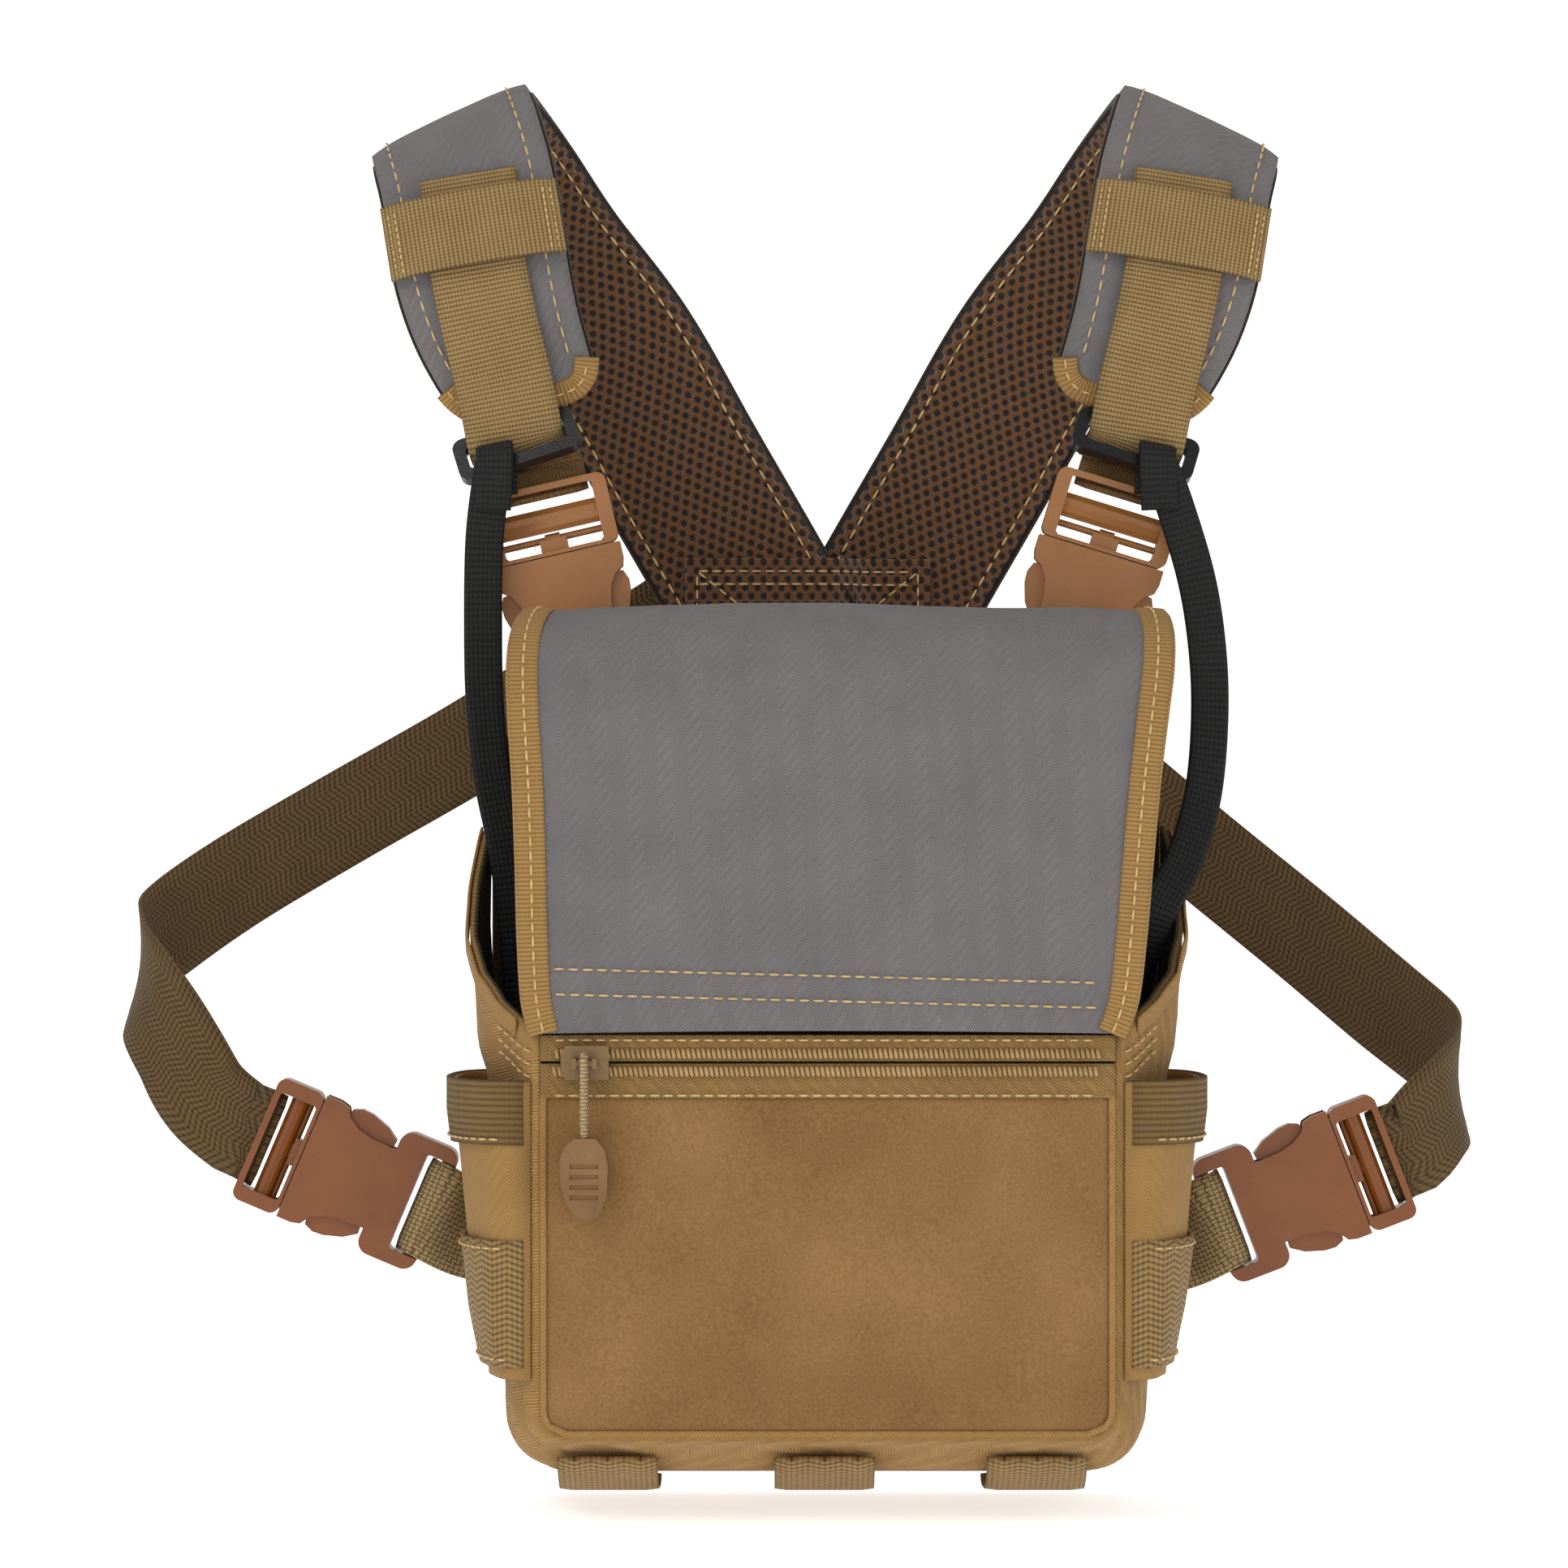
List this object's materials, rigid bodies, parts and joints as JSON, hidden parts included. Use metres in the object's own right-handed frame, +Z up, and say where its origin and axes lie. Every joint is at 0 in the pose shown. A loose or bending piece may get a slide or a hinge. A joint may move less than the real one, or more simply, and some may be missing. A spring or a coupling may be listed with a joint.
{
  "type": "binocular harness pack",
  "caption": "Chest pack for a binocular with a forward-opening lid, zipped front pocket, side pockets and a padded shoulder and waist harness with side release buckles.",
  "frame": {"origin": "on the rear face of the back panel, at its centre line, level with the top of the front pocket's zipper tape", "axes": "+Y towards the wearer's chest, +Z up, +X to the right as seen from the front"},
  "size_m": [0.3565, 0.1597, 0.3713],
  "materials": {
    "spacer_mesh": "brown knitted spacer mesh with elongated openings",
    "stiff_board": "thin black polyethylene stiffening board",
    "lining": "dull coyote nylon lining",
    "pack_cloth": "golden tan textured nylon with a fine weave",
    "pocket_face": "brushed coyote brown quiet fabric",
    "lid_cloth": "fine grey twill polyester",
    "binding": "golden tan grosgrain binding tape",
    "elastic": "olive tan ribbed elastic webbing",
    "tan_webbing": "tan ribbed nylon webbing",
    "waist_webbing": "dark olive brown nylon webbing",
    "black_webbing": "narrow black nylon webbing",
    "buckle": "coyote brown moulded acetal",
    "black_plastic": "black moulded nylon",
    "zip_tape": "tan woven zipper tape with a moulded coil",
    "zip_plastic": "olive tan painted slider and moulded pull",
    "zip_cord": "tan braided cord",
    "foam": "closed cell padding foam",
    "magnet": "nickel plated magnet"
  },
  "bodies": {
    "root": {"back_pad": "spacer_mesh", "back_board": "stiff_board", "back_liner": "lining", "catch_magnets": "magnet", "body_shell": "pack_cloth", "front_wall": "lining", "pocket_panel": "pocket_face", "zipper_tape_upper": "zip_tape", "zipper_tape_lower": "zip_tape", "side_pocket_left": "pack_cloth", "side_pocket_right": "pack_cloth", "pocket_band_left": "elastic", "pocket_band_right": "elastic", "side_bands": "elastic", "bottom_loops": "elastic", "side_stubs": "waist_webbing", "shoulder_stubs": "tan_webbing", "shoulder_cover_left": "lid_cloth", "shoulder_cover_right": "lid_cloth", "shoulder_foam_left": "foam", "shoulder_foam_right": "foam", "shoulder_mesh_left": "spacer_mesh", "shoulder_mesh_right": "spacer_mesh", "yoke_patch": "spacer_mesh", "keeper_left": "tan_webbing", "keeper_right": "tan_webbing", "adjuster_webbing_left": "tan_webbing", "adjuster_webbing_right": "tan_webbing", "triglide_left": "black_plastic", "triglide_right": "black_plastic", "tether_left": "black_webbing", "tether_right": "black_webbing", "tether_clip_left": "black_plastic", "tether_clip_right": "black_plastic", "side_strap_left": "waist_webbing", "side_strap_right": "waist_webbing", "shoulder_socket_left": "buckle", "shoulder_socket_right": "buckle", "side_socket_left": "buckle", "side_socket_right": "buckle", "shoulder_plug_left": "buckle", "shoulder_plug_right": "buckle"},
    "lid": {"lid_panel": "lid_cloth", "lid_board": "stiff_board", "lid_liner": "lining", "lid_binding_left": "binding", "lid_binding_right": "binding", "lid_magnets": "magnet"},
    "zip_slider": {"zipper_slider": "zip_plastic"},
    "zip_pull": {"zipper_cord": "zip_cord", "zipper_tab": "zip_plastic"},
    "waist_plug_left": {"side_plug_left": "buckle"},
    "waist_plug_right": {"side_plug_right": "buckle"},
    "shoulder_prong_inner_left": {"shoulder_prong_inner_left": "buckle"},
    "shoulder_prong_outer_left": {"shoulder_prong_outer_left": "buckle"},
    "shoulder_prong_outer_right": {"shoulder_prong_outer_right": "buckle"},
    "shoulder_prong_inner_right": {"shoulder_prong_inner_right": "buckle"},
    "side_prong_upper_left": {"side_prong_upper_left": "buckle"},
    "side_prong_lower_left": {"side_prong_lower_left": "buckle"},
    "side_prong_lower_right": {"side_prong_lower_right": "buckle"},
    "side_prong_upper_right": {"side_prong_upper_right": "buckle"}
  },
  "joints": [
    {"name": "lid_hinge", "type": "hinge", "parent": "root", "child": "lid", "pos_m": [0, -0.0765, 0.006], "axis": [1, 0, 0], "range_deg": [0, 120]},
    {"name": "zip_slide", "type": "slide", "parent": "root", "child": "zip_slider", "axis": [1, 0, 0], "range_m": [0, 0.122]},
    {"name": "pull_swing", "type": "hinge", "parent": "zip_slider", "child": "zip_pull", "pos_m": [-0.061, -0.082, -0.002], "axis": [-1, 0, 0], "range_deg": [0, 55]},
    {"name": "unclip_left", "type": "slide", "parent": "root", "child": "waist_plug_left", "axis": [-0.9205, 0, 0.3907], "range_m": [0, 0.026], "deforming": ["side_strap_left"]},
    {"name": "unclip_right", "type": "slide", "parent": "root", "child": "waist_plug_right", "axis": [0.9336, 0, 0.3584], "range_m": [0, 0.026], "deforming": ["side_strap_right"]},
    {"name": "shoulder_left_squeeze_inner", "type": "hinge", "parent": "root", "child": "shoulder_prong_inner_left", "pos_m": [-0.05792, -0.00475, 0.13201], "axis": [0, 1, 0], "range_deg": [0, 8], "stiffness_Nm_per_rad": 0.05},
    {"name": "shoulder_left_squeeze_outer", "type": "hinge", "parent": "root", "child": "shoulder_prong_outer_left", "pos_m": [-0.08403, -0.00475, 0.12599], "axis": [0, -1, 0], "range_deg": [0, 8], "stiffness_Nm_per_rad": 0.05},
    {"name": "shoulder_right_squeeze_outer", "type": "hinge", "parent": "root", "child": "shoulder_prong_outer_right", "pos_m": [0.08552, -0.00475, 0.12578], "axis": [0, 1, 0], "range_deg": [0, 8], "stiffness_Nm_per_rad": 0.05},
    {"name": "shoulder_right_squeeze_inner", "type": "hinge", "parent": "root", "child": "shoulder_prong_inner_right", "pos_m": [0.05989, -0.00475, 0.13361], "axis": [0, -1, 0], "range_deg": [0, 8], "stiffness_Nm_per_rad": 0.05},
    {"name": "side_left_squeeze_upper", "type": "hinge", "parent": "waist_plug_left", "child": "side_prong_upper_left", "pos_m": [-0.13216, -0.0185, -0.01603], "axis": [0, 1, 0], "range_deg": [0, 8], "stiffness_Nm_per_rad": 0.05},
    {"name": "side_left_squeeze_lower", "type": "hinge", "parent": "waist_plug_left", "child": "side_prong_lower_left", "pos_m": [-0.14264, -0.0185, -0.0407], "axis": [0, -1, 0], "range_deg": [0, 8], "stiffness_Nm_per_rad": 0.05},
    {"name": "side_right_squeeze_lower", "type": "hinge", "parent": "waist_plug_right", "child": "side_prong_lower_right", "pos_m": [0.14171, -0.0185, -0.04513], "axis": [0, 1, 0], "range_deg": [0, 8], "stiffness_Nm_per_rad": 0.05},
    {"name": "side_right_squeeze_upper", "type": "hinge", "parent": "waist_plug_right", "child": "side_prong_upper_right", "pos_m": [0.13211, -0.0185, -0.02011], "axis": [0, -1, 0], "range_deg": [0, 8], "stiffness_Nm_per_rad": 0.05}
  ],
  "couplings": [
    {"joint": "shoulder_left_squeeze_outer", "follows": "shoulder_left_squeeze_inner", "ratio": 1},
    {"joint": "shoulder_right_squeeze_inner", "follows": "shoulder_right_squeeze_outer", "ratio": 1},
    {"joint": "side_left_squeeze_lower", "follows": "side_left_squeeze_upper", "ratio": 1},
    {"joint": "side_right_squeeze_upper", "follows": "side_right_squeeze_lower", "ratio": 1}
  ]
}
